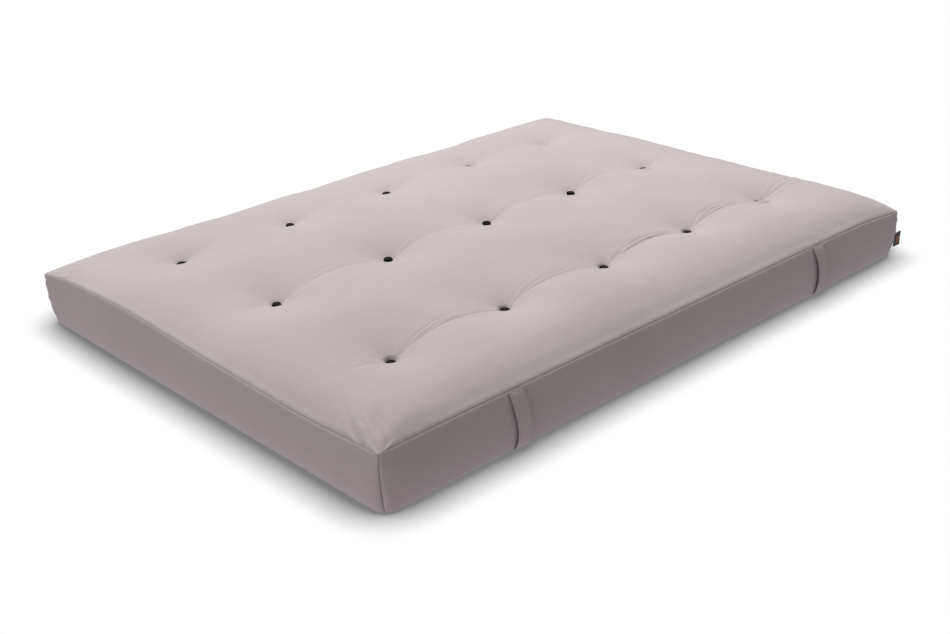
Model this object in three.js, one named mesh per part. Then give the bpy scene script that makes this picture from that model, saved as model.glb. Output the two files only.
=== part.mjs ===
// Tufted futon mattress. A cotton cover is sewn from six panels around three layers of filling.
// Fifteen tufts hold it all together: each is a twine that runs through everything, with a felt
// pad under its knot on each face. Four strap handles and a woven label are sewn into the seams.
// Millimetres. The origin is on the floor under the middle of the whole piece, +X runs along the
// length and +Z up.
import * as THREE from 'three';
import { mergeVertices } from 'three/addons/utils/BufferGeometryUtils.js';

// Overall size, measured between the seams
const LENGTH = 2000;
const WIDTH = 1400;
const TOP_SEAM_Z = 150;
const BASE_SEAM_Z = 10;

// Cover
const CLOTH = 1.2;
const GAP = 0.3; // air left between neighbouring pieces
const CROWN_RISE = 85; // how far the filling lifts the top above its seam
const CROWN_REACH = 160; // how quickly the top rises in from its edge
const BORDER_BULGE = 12;
const CORNER_REACH = 50; // how quickly a border starts to bulge away from a corner

// Tufts: the columns as tufted by hand, so their spacing isn't quite even
const TUFT_COLUMNS = [-730, -365, 0, 350, 690];
const TUFT_ROWS = [430, 0, -430];
const TUFT_PULL = 50; // depth of the hollow that a tuft pulls into the top
const TUFT_REACH = 88; // how far that hollow spreads
const BASE_PULL = 16;
const BASE_PULL_RADIUS = 60;
const HOLE_RADIUS = 3; // where the twine passes through cloth and filling
const SEAT_RADIUS = 16; // flat that the felt pad sits on
const PAD_RADIUS = 13;
const PAD_HOLE_RADIUS = 2.2;
const PAD_HEIGHT = 4;
const TWINE_RADIUS = 1.2;
const KNOT_RADIUS = 4.5;
const KNOT_HEIGHT = 1.2;

// Filling: heights of the two flat faces where the layers meet
const BASE_COTTON_TOP_Z = 48;
const FOAM_TOP_Z = 118;
const FILLING_INSET = 6; // filling stops this far inside the seams

// Strap handles and label
const HANDLE_X = 590;
const HANDLE_WIDTH = 45;
const HANDLE_THICKNESS = 2.2;
const HANDLE_SLACK = 9; // finger gap behind the middle of a strap
const HANDLE_SEAM_GAP = 2; // the straps end this far inside the two seams
const LABEL = { length: 28, height: 50, thickness: 1, baseZ: 24, offset: 1 };

const MATERIALS = {
  cover: new THREE.MeshStandardMaterial({ color: 0xc1b8b5, roughness: 0.9, metalness: 0 }),
  cottonFelt: new THREE.MeshStandardMaterial({ color: 0xe6e1d6, roughness: 1, metalness: 0 }),
  foam: new THREE.MeshStandardMaterial({ color: 0xe9dfb4, roughness: 0.95, metalness: 0 }),
  tuftFelt: new THREE.MeshStandardMaterial({ color: 0x141312, roughness: 1, metalness: 0 }),
  twine: new THREE.MeshStandardMaterial({ color: 0x1b1a19, roughness: 0.8, metalness: 0 }),
  label: new THREE.MeshStandardMaterial({ color: 0x1a1917, roughness: 0.7, metalness: 0 }),
};

const mattress = new THREE.Group();

function addPiece(name, geometry, material) {
  const mesh = new THREE.Mesh(geometry, material);
  mesh.name = name;
  mattress.add(mesh);
  return mesh;
}

const fromEdge = (value, half, reach) => 1 - Math.exp(-(half - Math.abs(value)) / reach);
const seamDistance = (x, y) => Math.min(LENGTH / 2 - Math.abs(x), WIDTH / 2 - Math.abs(y));
const tufts = TUFT_ROWS.flatMap((y) => TUFT_COLUMNS.map((x) => ({ x, y })));
const tuftDistance = (tuft, x, y) => Math.hypot(x - tuft.x, y - tuft.y);

// Height of the cover's outer face on top: crowned by the filling, hollowed by each tuft, and
// level under each felt pad
function topHeight(pointX, pointY) {
  const seat = tufts.find((tuft) => tuftDistance(tuft, pointX, pointY) < SEAT_RADIUS + GAP);
  const { x, y } = seat ?? { x: pointX, y: pointY };
  const crown = CROWN_RISE * fromEdge(x, LENGTH / 2, CROWN_REACH) * fromEdge(y, WIDTH / 2, CROWN_REACH);
  let pull = 0;
  for (const tuft of tufts) {
    pull += TUFT_PULL * Math.exp(-Math.max(tuftDistance(tuft, x, y), SEAT_RADIUS) / TUFT_REACH);
  }
  return TOP_SEAM_Z + GAP + CLOTH + crown - pull * Math.min(seamDistance(x, y) / SEAT_RADIUS, 1);
}

// Height of the cover's outer face underneath: flat on the floor, lifted at each tuft and at the edge
function baseHeight(x, y) {
  const lift = Math.max(1 - seamDistance(x, y) / BASE_PULL_RADIUS, 0) ** 2;
  const edgeHeight = (BASE_SEAM_Z - GAP - CLOTH) * lift;
  const nearest = Math.min(...tufts.map((tuft) => tuftDistance(tuft, x, y)));
  const share = (BASE_PULL_RADIUS - nearest) / (BASE_PULL_RADIUS - SEAT_RADIUS);
  return edgeHeight + BASE_PULL * Math.min(Math.max(share, 0), 1);
}

// A tufted face seen in plan. Every tuft has its own cell of the rectangle, with eight-sided rings
// around the twine hole, and rectangular rings run around the whole edge at stated seam distances.
function tuftedPlan(tuftRings, edgeRings) {
  const rows = [...TUFT_ROWS].reverse();
  const middle = (values) => values.slice(1).map((value, i) => (value + values[i]) / 2);
  const positions = [];
  const faces = [];
  const indexOf = new Map();

  function point(x, y) {
    const key = `${x.toFixed(3)},${y.toFixed(3)}`;
    if (!indexOf.has(key)) {
      indexOf.set(key, positions.length);
      positions.push([x, y]);
    }
    return indexOf.get(key);
  }

  function joinRings(inner, outer) {
    for (let i = 0; i < inner.length; i += 1) {
      const next = (i + 1) % inner.length;
      faces.push([inner[i], outer[i], outer[next]], [inner[i], outer[next], inner[next]]);
    }
  }

  const deepest = edgeRings.at(-1);
  const columnEdges = [deepest - LENGTH / 2, ...middle(TUFT_COLUMNS), LENGTH / 2 - deepest];
  const rowEdges = [deepest - WIDTH / 2, ...middle(rows), WIDTH / 2 - deepest];
  const holes = [];
  TUFT_COLUMNS.forEach((column, i) => {
    rows.forEach((row, j) => {
      const [left, right, low, high] = [columnEdges[i], columnEdges[i + 1], rowEdges[j], rowEdges[j + 1]];
      const rings = tuftRings.map((radius) => {
        const ring = [];
        for (let k = 0; k < 8; k += 1) {
          const angle = (k * Math.PI) / 4;
          ring.push(point(column + radius * Math.cos(angle), row + radius * Math.sin(angle)));
        }
        return ring;
      });
      rings.push([
        point(right, row), point(right, high), point(column, high), point(left, high),
        point(left, row), point(left, low), point(column, low), point(right, low),
      ]);
      for (let k = 1; k < rings.length; k += 1) joinRings(rings[k - 1], rings[k]);
      holes.push(rings[0]);
    });
  });

  // The points of one rectangular ring, anticlockwise from its -X, -Y corner
  function edgeRing(depth) {
    const [endX, endY] = [LENGTH / 2 - depth, WIDTH / 2 - depth];
    const alongX = TUFT_COLUMNS.flatMap((column, i) => [column, columnEdges[i + 1]]).slice(0, -1);
    const alongY = rows.flatMap((row, j) => [row, rowEdges[j + 1]]).slice(0, -1);
    return [
      point(-endX, -endY), ...alongX.map((x) => point(x, -endY)),
      point(endX, -endY), ...alongY.map((y) => point(endX, y)),
      point(endX, endY), ...[...alongX].reverse().map((x) => point(x, endY)),
      point(-endX, endY), ...[...alongY].reverse().map((y) => point(-endX, y)),
    ];
  }
  const rims = edgeRings.map(edgeRing);
  for (let k = 1; k < rims.length; k += 1) joinRings(rims[k], rims[k - 1]);
  return { positions, faces, rim: rims[0], holes };
}

// A closed layer between two tufted faces. The two plans share their outer rim and their holes.
function layerGeometry(upperPlan, upperHeight, lowerPlan, lowerHeight) {
  const vertices = [];
  const indices = [];
  upperPlan.positions.forEach(([x, y]) => vertices.push(x, y, upperHeight(x, y)));
  const offset = upperPlan.positions.length;
  lowerPlan.positions.forEach(([x, y]) => vertices.push(x, y, lowerHeight(x, y)));
  upperPlan.faces.forEach(([a, b, c]) => indices.push(a, b, c));
  lowerPlan.faces.forEach(([a, b, c]) => indices.push(offset + a, offset + c, offset + b));

  function wall(upperLoop, lowerLoop, outward) {
    for (let i = 0; i < upperLoop.length; i += 1) {
      const next = (i + 1) % upperLoop.length;
      const [a, b] = outward ? [i, next] : [next, i];
      const [upperA, upperB] = [upperLoop[a], upperLoop[b]];
      const [lowerA, lowerB] = [offset + lowerLoop[a], offset + lowerLoop[b]];
      indices.push(lowerA, lowerB, upperB, lowerA, upperB, upperA);
    }
  }
  wall(upperPlan.rim, lowerPlan.rim, true);
  upperPlan.holes.forEach((hole, i) => wall(hole, lowerPlan.holes[i], false));
  return indexedGeometry(vertices, indices);
}

function indexedGeometry(vertices, indices) {
  const geometry = new THREE.BufferGeometry();
  geometry.setAttribute('position', new THREE.Float32BufferAttribute(vertices, 3));
  geometry.setIndex(indices);
  const closed = mergeVertices(geometry, 1e-4);
  closed.computeVertexNormals();
  return closed;
}

// A closed band of cloth from two grids of points. Seen from outside, u runs to the right and v up.
function bandGeometry(across, up, outerPoint, innerPoint) {
  const vertices = [];
  const indices = [];
  for (const pointAt of [outerPoint, innerPoint]) {
    for (const v of up) for (const u of across) vertices.push(...pointAt(u, v));
  }
  const columns = across.length;
  const inner = columns * up.length;
  const quad = (a, b, c, d) => indices.push(a, b, c, a, c, d);
  for (let j = 0; j + 1 < up.length; j += 1) {
    for (let i = 0; i + 1 < columns; i += 1) {
      const corner = j * columns + i;
      quad(corner, corner + 1, corner + columns + 1, corner + columns);
      quad(inner + corner, inner + corner + columns, inner + corner + columns + 1, inner + corner + 1);
    }
    const [left, right] = [j * columns, j * columns + columns - 1];
    quad(left, left + columns, inner + left + columns, inner + left);
    quad(right, inner + right, inner + right + columns, right + columns);
  }
  for (let i = 0; i + 1 < columns; i += 1) {
    const last = (up.length - 1) * columns + i;
    quad(i, inner + i, inner + i + 1, i + 1);
    quad(last, last + 1, inner + last + 1, inner + last);
  }
  return indexedGeometry(vertices, indices);
}

// How far a border stands out of its seams, at a height and a distance from the nearer corner
function borderBulge(z, cornerDistance) {
  const share = Math.min(Math.max((z - BASE_SEAM_Z) / (TOP_SEAM_Z - BASE_SEAM_Z), 0), 1);
  return BORDER_BULGE * Math.sin(Math.PI * share ** 0.8) * (1 - Math.exp(-cornerDistance / CORNER_REACH));
}

// Even steps from one value to another, both included
function steps(from, to, count) {
  return Array.from({ length: count + 1 }, (_, i) => from + ((to - from) * i) / count);
}

// A border or strap is drawn facing -Y, then turned to its own side of the mattress
const SIDES = {
  front: { turn: 0, alongHalf: LENGTH / 2, outHalf: WIDTH / 2, shorten: 0 },
  back: { turn: Math.PI, alongHalf: LENGTH / 2, outHalf: WIDTH / 2, shorten: 0 },
  left: { turn: -Math.PI / 2, alongHalf: WIDTH / 2, outHalf: LENGTH / 2, shorten: CLOTH + GAP },
  right: { turn: Math.PI / 2, alongHalf: WIDTH / 2, outHalf: LENGTH / 2, shorten: CLOTH + GAP },
};

function addBorder(side) {
  const { turn, alongHalf, outHalf, shorten } = SIDES[side];
  const end = alongHalf - shorten;
  const nearEnd = [0, 20, 50, 110, 250].map((distance) => end - distance);
  const across = [...nearEnd.map((u) => -u), 0, ...[...nearEnd].reverse()];
  const up = steps(BASE_SEAM_Z, TOP_SEAM_Z, 6);
  const faceAt = (u, z) => -outHalf - borderBulge(z, end - Math.abs(u));
  const outer = (u, z) => [u, faceAt(u, z), z];
  const inner = (u, z) => [u, faceAt(u, z) + CLOTH, z];
  const geometry = bandGeometry(across, up, outer, inner);
  addPiece(`border_${side}`, geometry, MATERIALS.cover).rotation.z = turn;
}

function addHandle(side, end) {
  const { turn, alongHalf, outHalf } = SIDES[side];
  const centre = (end === 'left' ? -HANDLE_X : HANDLE_X) * (side === 'back' ? -1 : 1);
  const across = [centre - HANDLE_WIDTH / 2, centre + HANDLE_WIDTH / 2];
  const up = steps(BASE_SEAM_Z + HANDLE_SEAM_GAP, TOP_SEAM_Z - HANDLE_SEAM_GAP, 10);
  function backAt(z) {
    const share = (z - up[0]) / (up.at(-1) - up[0]);
    const slack = HANDLE_SLACK * Math.sqrt(Math.max(Math.sin(Math.PI * share), 0));
    return -outHalf - borderBulge(z, alongHalf - HANDLE_X) - 2 * GAP - slack;
  }
  const outer = (u, z) => [u, backAt(z) - HANDLE_THICKNESS, z];
  const inner = (u, z) => [u, backAt(z), z];
  const geometry = bandGeometry(across, up, outer, inner);
  addPiece(`handle_${side}_${end}`, geometry, MATERIALS.cover).rotation.z = turn;
}

// A felt washer with a slightly smaller upper face
function padGeometry() {
  const profile = [
    [PAD_HOLE_RADIUS, 0], [PAD_RADIUS, 0], [PAD_RADIUS - 1, PAD_HEIGHT], [PAD_HOLE_RADIUS, PAD_HEIGHT],
    [PAD_HOLE_RADIUS, 0],
  ];
  return latheAboutZ(profile, 10);
}

// A twine with a flat knot at each end
function twineGeometry(length) {
  const [low, high] = [KNOT_HEIGHT, length - KNOT_HEIGHT];
  const profile = [
    [0, 0], [KNOT_RADIUS, 0], [KNOT_RADIUS, low], [TWINE_RADIUS, low],
    [TWINE_RADIUS, high], [KNOT_RADIUS, high], [KNOT_RADIUS, length], [0, length],
  ];
  return latheAboutZ(profile, 6);
}

function latheAboutZ(profile, sides) {
  const geometry = new THREE.LatheGeometry(profile.map(([r, z]) => new THREE.Vector2(r, z)), sides);
  return geometry.rotateX(Math.PI / 2);
}

function addTuft(row, column, x, y) {
  const name = `tuft_${'abc'[row]}${column + 1}`;
  const topSeat = topHeight(x, y) + GAP;
  const baseSeat = baseHeight(x, y) - GAP;
  const twineBase = baseSeat - PAD_HEIGHT - GAP - KNOT_HEIGHT;
  const twineTop = topSeat + PAD_HEIGHT + GAP + KNOT_HEIGHT;
  const topPad = addPiece(`${name}_top_pad`, padGeometry(), MATERIALS.tuftFelt);
  topPad.position.set(x, y, topSeat);
  const twine = addPiece(`${name}_twine`, twineGeometry(twineTop - twineBase), MATERIALS.twine);
  twine.position.set(x, y, twineBase);
  const basePad = addPiece(`${name}_base_pad`, padGeometry(), MATERIALS.tuftFelt);
  basePad.position.set(x, y, baseSeat);
  basePad.rotation.x = Math.PI;
}

// Cover panels
const fineRings = [HOLE_RADIUS, SEAT_RADIUS, 45, 105];
const plainRings = [HOLE_RADIUS, SEAT_RADIUS, BASE_PULL_RADIUS];
const edgeRings = [25, 60];
const topPlan = tuftedPlan(fineRings, [0, ...edgeRings]);
const basePlan = tuftedPlan(plainRings, [0, ...edgeRings]);
const under = (height, depth) => (x, y) => height(x, y) - depth;
const topPanel = layerGeometry(topPlan, topHeight, topPlan, under(topHeight, CLOTH));
const basePanel = layerGeometry(basePlan, under(baseHeight, -CLOTH), basePlan, baseHeight);
addPiece('cover_top', topPanel, MATERIALS.cover);
addPiece('cover_base', basePanel, MATERIALS.cover);
Object.keys(SIDES).forEach(addBorder);

// Filling, from the top down. Its rim is level with the seam that it stops short of.
const flat = (z) => () => z;
const filled = (height, depth) => (x, y) =>
  height(...(seamDistance(x, y) > 2 * FILLING_INSET ? [x, y] : [LENGTH / 2, 0])) - depth;
const flatPlan = tuftedPlan([HOLE_RADIUS], [FILLING_INSET, 60]);
const topFillPlan = tuftedPlan(fineRings, [FILLING_INSET, ...edgeRings]);
const baseFillPlan = tuftedPlan(plainRings, [FILLING_INSET, ...edgeRings]);
const topFace = filled(topHeight, CLOTH + GAP);
const baseFace = filled(baseHeight, -CLOTH - GAP);
const topFill = layerGeometry(topFillPlan, topFace, flatPlan, flat(FOAM_TOP_Z + GAP));
const foam = layerGeometry(flatPlan, flat(FOAM_TOP_Z), flatPlan, flat(BASE_COTTON_TOP_Z + GAP));
const baseFill = layerGeometry(flatPlan, flat(BASE_COTTON_TOP_Z), baseFillPlan, baseFace);
addPiece('cotton_top', topFill, MATERIALS.cottonFelt);
addPiece('foam_core', foam, MATERIALS.foam);
addPiece('cotton_base', baseFill, MATERIALS.cottonFelt);

// Tufts
TUFT_ROWS.forEach((y, row) => {
  TUFT_COLUMNS.forEach((x, column) => addTuft(row, column, x, y));
});

// Handles, two on each long side
for (const side of ['front', 'back']) {
  for (const end of ['left', 'right']) addHandle(side, end);
}

// Woven label, a flap that carries on the front border's plane past the right-hand corner seam
const labelShape = new THREE.BoxGeometry(LABEL.length, LABEL.thickness, LABEL.height);
addPiece('side_label', labelShape, MATERIALS.label).position.set(
  LENGTH / 2 + LABEL.offset + LABEL.length / 2,
  -WIDTH / 2 - LABEL.offset,
  LABEL.baseZ + LABEL.height / 2,
);

// The label stands out past one end only, so the whole piece is moved to centre its box
const box = new THREE.Box3().setFromObject(mattress);
mattress.position.x = -(box.min.x + box.max.x) / 2;

export default mattress;
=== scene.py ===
# %% [markdown]
# # A tufted futon mattress
#
# The object is a sewn cotton cover, filled with layers of felt and foam, and drawn together by
# fifteen tufts. Four strap handles and a small woven label are sewn into its seams.
#
# This lesson builds the cloth around a fixed frame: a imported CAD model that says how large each
# piece is and where it sits. Every soft piece here stands for one of those CAD solids.

# %% Load the frame
import math

import bmesh
import bpy
import numpy as np
from mathutils import Matrix, Vector, noise


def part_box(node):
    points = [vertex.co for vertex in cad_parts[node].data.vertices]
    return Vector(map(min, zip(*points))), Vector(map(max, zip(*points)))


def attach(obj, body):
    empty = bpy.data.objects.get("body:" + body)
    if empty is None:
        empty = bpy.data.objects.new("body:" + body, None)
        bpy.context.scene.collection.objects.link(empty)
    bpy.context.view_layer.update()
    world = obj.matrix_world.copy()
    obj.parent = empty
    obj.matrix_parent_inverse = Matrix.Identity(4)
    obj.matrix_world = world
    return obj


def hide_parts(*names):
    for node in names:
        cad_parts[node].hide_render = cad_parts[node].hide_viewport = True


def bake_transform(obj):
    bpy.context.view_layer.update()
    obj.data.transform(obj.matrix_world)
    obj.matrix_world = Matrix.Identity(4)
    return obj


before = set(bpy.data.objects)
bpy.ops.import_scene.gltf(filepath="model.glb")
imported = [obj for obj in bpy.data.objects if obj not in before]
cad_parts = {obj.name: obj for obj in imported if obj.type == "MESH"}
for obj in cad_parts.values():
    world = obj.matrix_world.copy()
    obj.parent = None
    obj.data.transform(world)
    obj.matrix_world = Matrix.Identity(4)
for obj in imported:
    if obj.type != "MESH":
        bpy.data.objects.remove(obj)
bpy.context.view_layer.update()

# %% Read the driving sizes from the frame
MM = 0.001
panel_low, panel_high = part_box("cover_top")
CENTRE_X = (panel_low.x + panel_high.x) / 2
HALF_LENGTH = (panel_high.x - panel_low.x) / 2
HALF_WIDTH = (panel_high.y - panel_low.y) / 2
TOP_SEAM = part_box("border_front")[1].z
BASE_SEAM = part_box("border_front")[0].z
TUFT_NAMES = [f"tuft_{row}{column}" for row in "abc" for column in range(1, 6)]
print(f"mattress {2 * HALF_LENGTH:.3f} by {2 * HALF_WIDTH:.3f} m, seam at {TOP_SEAM * 1000:.0f} mm")

# %% [markdown]
# ## Camera, floor and light
#
# A big flat thing is best shown from one corner and a little above it, so that its top and two of
# its sides are seen at once. Here it lies on a white floor that runs on into a white background.
# The camera is set by three angles and a place, which are easier to reason about than a matrix.

# %% Camera
CAMERA_PLACE = Vector((-2.4437, -2.480, 1.491))
CAMERA_AZIMUTH, CAMERA_HEIGHT, CAMERA_ROLL = (math.radians(a) for a in (-42.04, 24.09, -1.86))

back = Vector((
    math.sin(CAMERA_AZIMUTH) * math.cos(CAMERA_HEIGHT),
    -math.cos(CAMERA_AZIMUTH) * math.cos(CAMERA_HEIGHT),
    math.sin(CAMERA_HEIGHT),
))
level = Vector((math.cos(CAMERA_AZIMUTH), math.sin(CAMERA_AZIMUTH), 0))
upright = back.cross(level)
right = math.cos(CAMERA_ROLL) * level + math.sin(CAMERA_ROLL) * upright
above = math.cos(CAMERA_ROLL) * upright - math.sin(CAMERA_ROLL) * level

camera = bpy.data.objects.new("camera", bpy.data.cameras.new("camera"))
bpy.context.scene.collection.objects.link(camera)
camera.matrix_world = Matrix.Translation(CAMERA_PLACE) @ Matrix((right, above, back)).transposed().to_4x4()
camera.data.sensor_width = 36
camera.data.lens = 50.03
camera.data.shift_x = 0.0404
camera.data.shift_y = -0.0097
camera.data.dof.use_dof = False
bpy.context.scene.camera = camera
bpy.context.scene.view_settings.view_transform = "Standard"
print("camera height above the floor:", round(camera.location.z, 3), "m")


# %% Helpers for node trees
def fresh_tree(owner):
    owner.use_nodes = True
    owner.node_tree.nodes.clear()
    return owner.node_tree


def add(tree, kind, **settings):
    """Adds a node, sets its properties by name and its inputs by the names that start with in_."""
    node = tree.nodes.new("ShaderNode" + kind)
    for key, value in settings.items():
        if key.startswith("in_"):
            label = key[3:]
            socket = node.inputs[int(label) if label.isdigit() else label.replace("_", " ")]
            if isinstance(value, bpy.types.NodeSocket):
                tree.links.new(value, socket)
            else:
                socket.default_value = value
        else:
            setattr(node, key, value)
    return node


# %% [markdown]
# A white floor in a studio is lit until it is as bright as paper, and the only darkness left on
# it is the narrow band where the object keeps the light away. The floor here glows evenly, and an
# ambient occlusion node darkens it near the cloth. Rays that light the object see it dimmer, or
# the lower half of the borders would be too bright.

# %% Floor
FLOOR_SIZE = 14.0
SHADOW_REACH = 0.105
FLOOR_BOUNCE = 0.58
BOUNCE_TINT = (1.0, 0.92, 0.99)

floor_material = bpy.data.materials.new("white_floor")
tree = fresh_tree(floor_material)
nearness = add(tree, "AmbientOcclusion", samples=16, in_Distance=SHADOW_REACH)
shade = add(tree, "MapRange", in_Value=nearness.outputs["AO"], in_1=0.42, in_2=0.95, in_3=0.20, in_4=1.0)
rays = add(tree, "LightPath")
seen = add(tree, "Emission", in_Color=shade.outputs["Result"])
bounced = add(tree, "Emission", in_Color=(*BOUNCE_TINT, 1), in_Strength=FLOOR_BOUNCE)
either = add(tree, "MixShader", in_0=rays.outputs["Is Camera Ray"])
tree.links.new(bounced.outputs["Emission"], either.inputs[1])
tree.links.new(seen.outputs["Emission"], either.inputs[2])
tree.links.new(either.outputs["Shader"], add(tree, "OutputMaterial").inputs["Surface"])

floor_mesh = bmesh.new()
bmesh.ops.create_grid(floor_mesh, x_segments=8, y_segments=8, size=FLOOR_SIZE / 2)
bmesh.ops.translate(floor_mesh, verts=floor_mesh.verts, vec=(0, 0, -0.3 * MM))
floor = bpy.data.objects.new("floor", bpy.data.meshes.new("floor"))
floor_mesh.to_mesh(floor.data)
floor_mesh.free()
floor.data.materials.append(floor_material)
bpy.context.scene.collection.objects.link(floor)
print("floor:", FLOOR_SIZE, "m square")

# %% [markdown]
# One very broad panel of light hangs high behind the mattress. It makes the top bright, a little
# more so at the far side, and leaves the long border dark. It is also what lets the creases be
# seen: their walls that face the light are pale, and those that face away are grey. A weaker
# light, low on the left, brings up the short border.

# %% World and key light
AMBIENT = 0.32
KEY_DIRECTION = Vector((0.26, 0.40, 0.88)).normalized()
KEY_DISTANCE, KEY_SIZE = 7.0, 5.0
KEY_POWER = 640
SIDE_DIRECTION = Vector((-1.0, 0.12, 0.15)).normalized()
SIDE_STRENGTH, SIDE_ANGLE = 0.98, math.radians(60)

world = bpy.data.worlds.new("studio")
bpy.context.scene.world = world
tree = fresh_tree(world)
rays = add(tree, "LightPath")
strength = add(tree, "MapRange", in_Value=rays.outputs["Is Camera Ray"], in_3=AMBIENT, in_4=1.0)
sky = add(tree, "Background", in_Color=(1, 1, 1, 1), in_Strength=strength.outputs["Result"])
tree.links.new(sky.outputs["Background"], add(tree, "OutputWorld").inputs["Surface"])


def aimed_lamp(name, kind, towards, energy):
    """A lamp that stands in the direction towards and shines at the middle of the object."""
    lamp = bpy.data.objects.new(name, bpy.data.lights.new(name, kind))
    lamp.data.energy = energy
    lamp.location = towards * KEY_DISTANCE
    lamp.rotation_mode = "QUATERNION"
    lamp.rotation_quaternion = towards.to_track_quat("Z", "Y")
    bpy.context.scene.collection.objects.link(lamp)
    print(name, "stands at", [round(v, 2) for v in lamp.location])
    return lamp


aimed_lamp("key_light", "AREA", KEY_DIRECTION, KEY_POWER).data.size = KEY_SIZE
aimed_lamp("side_light", "SUN", SIDE_DIRECTION, SIDE_STRENGTH).data.angle = SIDE_ANGLE

# %% [markdown]
# ## Finishes
#
# The cover is a plain cotton drill: a close weave with fine diagonal ribs, dyed one quiet
# grey-brown. Two effects are shared by all the woven pieces, so each is a node group: the weave,
# which is only a height, and the tone, which shifts the dye slightly from place to place. The
# ribs follow two diagonal directions in space, and so they lie correctly on the top, the borders
# and the straps without any unwrapping.


# %% Node groups for cloth
def new_group(name, inputs, outputs):
    """A node group from lists of (socket name, socket type, default value)."""
    group = bpy.data.node_groups.new(name, "ShaderNodeTree")
    for label, kind, value in inputs:
        group.interface.new_socket(label, in_out="INPUT", socket_type=kind).default_value = value
    for label, kind in outputs:
        group.interface.new_socket(label, in_out="OUTPUT", socket_type=kind)
    return group, group.nodes.new("NodeGroupInput"), group.nodes.new("NodeGroupOutput")


def wave_along(tree, place, direction, pitch):
    """A smooth wave from 0 to 1 whose crests lie across direction, pitch apart."""
    along = add(tree, "VectorMath", operation="DOT_PRODUCT", in_0=place, in_1=direction)
    turns = add(tree, "Math", operation="DIVIDE", in_0=along.outputs["Value"], in_1=pitch)
    angle = add(tree, "Math", operation="MULTIPLY", in_0=turns.outputs["Value"], in_1=2 * math.pi)
    wave = add(tree, "Math", operation="SINE", in_0=angle.outputs["Value"])
    return add(tree, "MapRange", in_Value=wave.outputs["Value"], in_1=-1.0, in_2=1.0).outputs["Result"]


def build_weave():
    """Height of a drill weave: strong ribs one way, fainter ones the other, and uneven yarn."""
    group, start, end = new_group(
        "drill_weave",
        [("Pitch", "NodeSocketFloat", 0.9 * MM), ("Unevenness", "NodeSocketFloat", 0.5)],
        [("Height", "NodeSocketFloat")],
    )
    place = add(group, "TexCoord").outputs["Object"]
    ribs = wave_along(group, place, (0.6, 0.6, 0.6), start.outputs["Pitch"])
    cross = wave_along(group, place, (0.6, -0.6, 0.6), start.outputs["Pitch"])
    woven = add(group, "Math", operation="MULTIPLY_ADD", in_0=cross, in_1=0.55, in_2=ribs)
    yarn = add(group, "TexNoise", in_Vector=place, in_Scale=420.0, in_Detail=2.0)
    unevenness = start.outputs["Unevenness"]
    uneven = add(group, "Math", operation="MULTIPLY", in_0=yarn.outputs["Fac"], in_1=unevenness)
    height = add(group, "Math", operation="ADD", in_0=woven.outputs["Value"], in_1=uneven.outputs["Value"])
    group.links.new(height.outputs["Value"], end.inputs["Height"])
    return group


def build_tone():
    """Dyed colour that drifts: broad soft patches, slubs that run along the yarn, and fine flecks."""
    group, start, end = new_group(
        "dyed_tone",
        [
            ("Dye", "NodeSocketColor", (0.4, 0.35, 0.35, 1)),
            ("Faded", "NodeSocketColor", (0.45, 0.4, 0.4, 1)),
            ("Patch Scale", "NodeSocketFloat", 3.0),
        ],
        [("Color", "NodeSocketColor"), ("Mask", "NodeSocketFloat")],
    )
    place = add(group, "TexCoord").outputs["Object"]
    patches = add(group, "TexNoise", in_Vector=place, in_Scale=start.outputs["Patch Scale"], in_Detail=3.0)
    stretched = add(group, "VectorMath", operation="MULTIPLY", in_0=place, in_1=(12.0, 160.0, 160.0))
    slubs = add(group, "TexNoise", in_Vector=stretched.outputs["Vector"], in_Scale=1.0, in_Detail=1.0)
    broad = patches.outputs["Fac"]
    both = add(group, "Math", operation="MULTIPLY_ADD", in_0=slubs.outputs["Fac"], in_1=0.35, in_2=broad)
    flecks = add(group, "TexNoise", in_Vector=place, in_Scale=260.0, in_Detail=2.0)
    broad = both.outputs["Value"]
    grain = add(group, "Math", operation="MULTIPLY_ADD", in_0=flecks.outputs["Fac"], in_1=0.5, in_2=broad)
    mask = add(group, "MapRange", in_Value=grain.outputs["Value"], in_1=0.62, in_2=1.22)
    mix = add(group, "Mix", data_type="RGBA", in_0=mask.outputs["Result"], in_6=start.outputs["Dye"])
    group.links.new(start.outputs["Faded"], mix.inputs[7])
    group.links.new(mix.outputs[2], end.inputs["Color"])
    group.links.new(mask.outputs["Result"], end.inputs["Mask"])
    return group


WEAVE, TONE = build_weave(), build_tone()
print("node groups:", WEAVE.name, "and", TONE.name)


# %% Woven finishes
def woven_material(name, dye, faded, pitch, relief, roughness=0.88, sheen=0.25, patches=3.0):
    """A cloth finish: the dyed tone feeds the colour and roughness, and the weave feeds a bump."""
    material = bpy.data.materials.new(name)
    tree = fresh_tree(material)
    tone = add(tree, "Group", node_tree=TONE, in_Dye=(*dye, 1), in_Faded=(*faded, 1), in_Patch_Scale=patches)
    weave = add(tree, "Group", node_tree=WEAVE, in_Pitch=pitch)
    bump = add(tree, "Bump", in_Height=weave.outputs["Height"], in_Strength=relief, in_Distance=0.12 * MM)
    rough = add(tree, "MapRange", in_Value=tone.outputs["Mask"], in_3=roughness - 0.04, in_4=roughness + 0.04)
    cloth = add(tree, "BsdfPrincipled", in_Base_Color=tone.outputs["Color"])
    tree.links.new(rough.outputs["Result"], cloth.inputs["Roughness"])
    cloth.inputs["Sheen Weight"].default_value = sheen
    cloth.inputs["Sheen Roughness"].default_value = 0.6
    cloth.inputs["Specular IOR Level"].default_value = 0.18
    tree.links.new(bump.outputs["Normal"], cloth.inputs["Normal"])
    tree.links.new(cloth.outputs["BSDF"], add(tree, "OutputMaterial").inputs["Surface"])
    return material


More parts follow.
